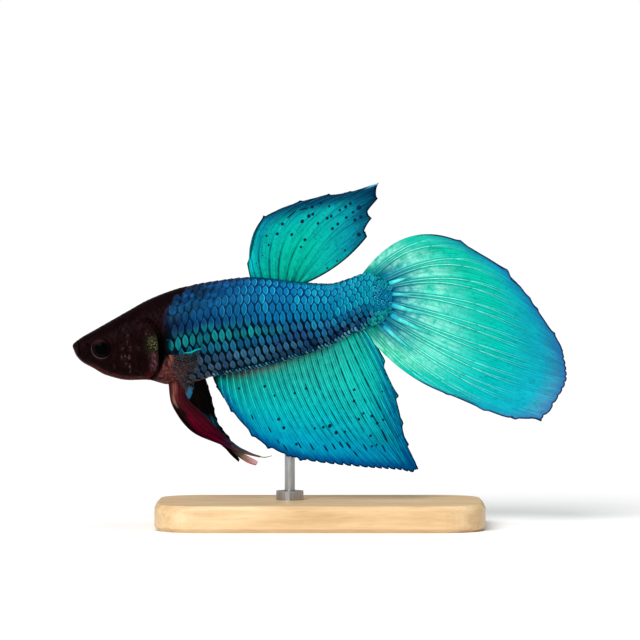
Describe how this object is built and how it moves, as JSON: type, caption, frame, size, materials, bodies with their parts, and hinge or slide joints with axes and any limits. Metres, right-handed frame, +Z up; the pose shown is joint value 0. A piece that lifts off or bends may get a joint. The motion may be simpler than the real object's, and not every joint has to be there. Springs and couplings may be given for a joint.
{
  "type": "betta fish",
  "caption": "Still life-size model of a swimming veiltail betta fish with spread fins, held over a flat wooden base by a steel rod.",
  "frame": {"origin": "middle of the stand's underside, on the surface it stands on", "axes": "+Z up, -X the way the fish faces, -Y its left side"},
  "size_m": [0.0752, 0.028, 0.0524],
  "materials": {
    "head_skin": "near-black maroon skin, moist satin",
    "eye": "wet gloss, dark iris with a pale mauve ring",
    "body_scales": "iridescent blue scales with dark edges",
    "fin_membrane": "turquoise membrane on paler rays, navy rim",
    "pelvic_membrane": "crimson to black membrane",
    "pectoral_membrane": "thin grey-brown membrane, turquoise top ray",
    "stand_wood": "pale maple, satin oil",
    "stand_steel": "brushed"
  },
  "bodies": {
    "root": {"head": "head_skin", "lower_jaw": "head_skin", "gill_cover_left": "head_skin", "gill_cover_right": "head_skin", "eye_left": "eye", "eye_right": "eye", "trunk_front": "body_scales", "trunk_rear": "body_scales", "tail_stalk": "body_scales", "dorsal_fin": "fin_membrane", "tail_fin": "fin_membrane", "anal_fin": "fin_membrane", "pelvic_fin_left": "pelvic_membrane", "pelvic_fin_right": "pelvic_membrane", "pectoral_fin_left": "pectoral_membrane", "pectoral_fin_right": "pectoral_membrane", "stand_base": "stand_wood", "stand_rod": "stand_steel", "stand_collar": "stand_steel"}
  },
  "joints": []
}
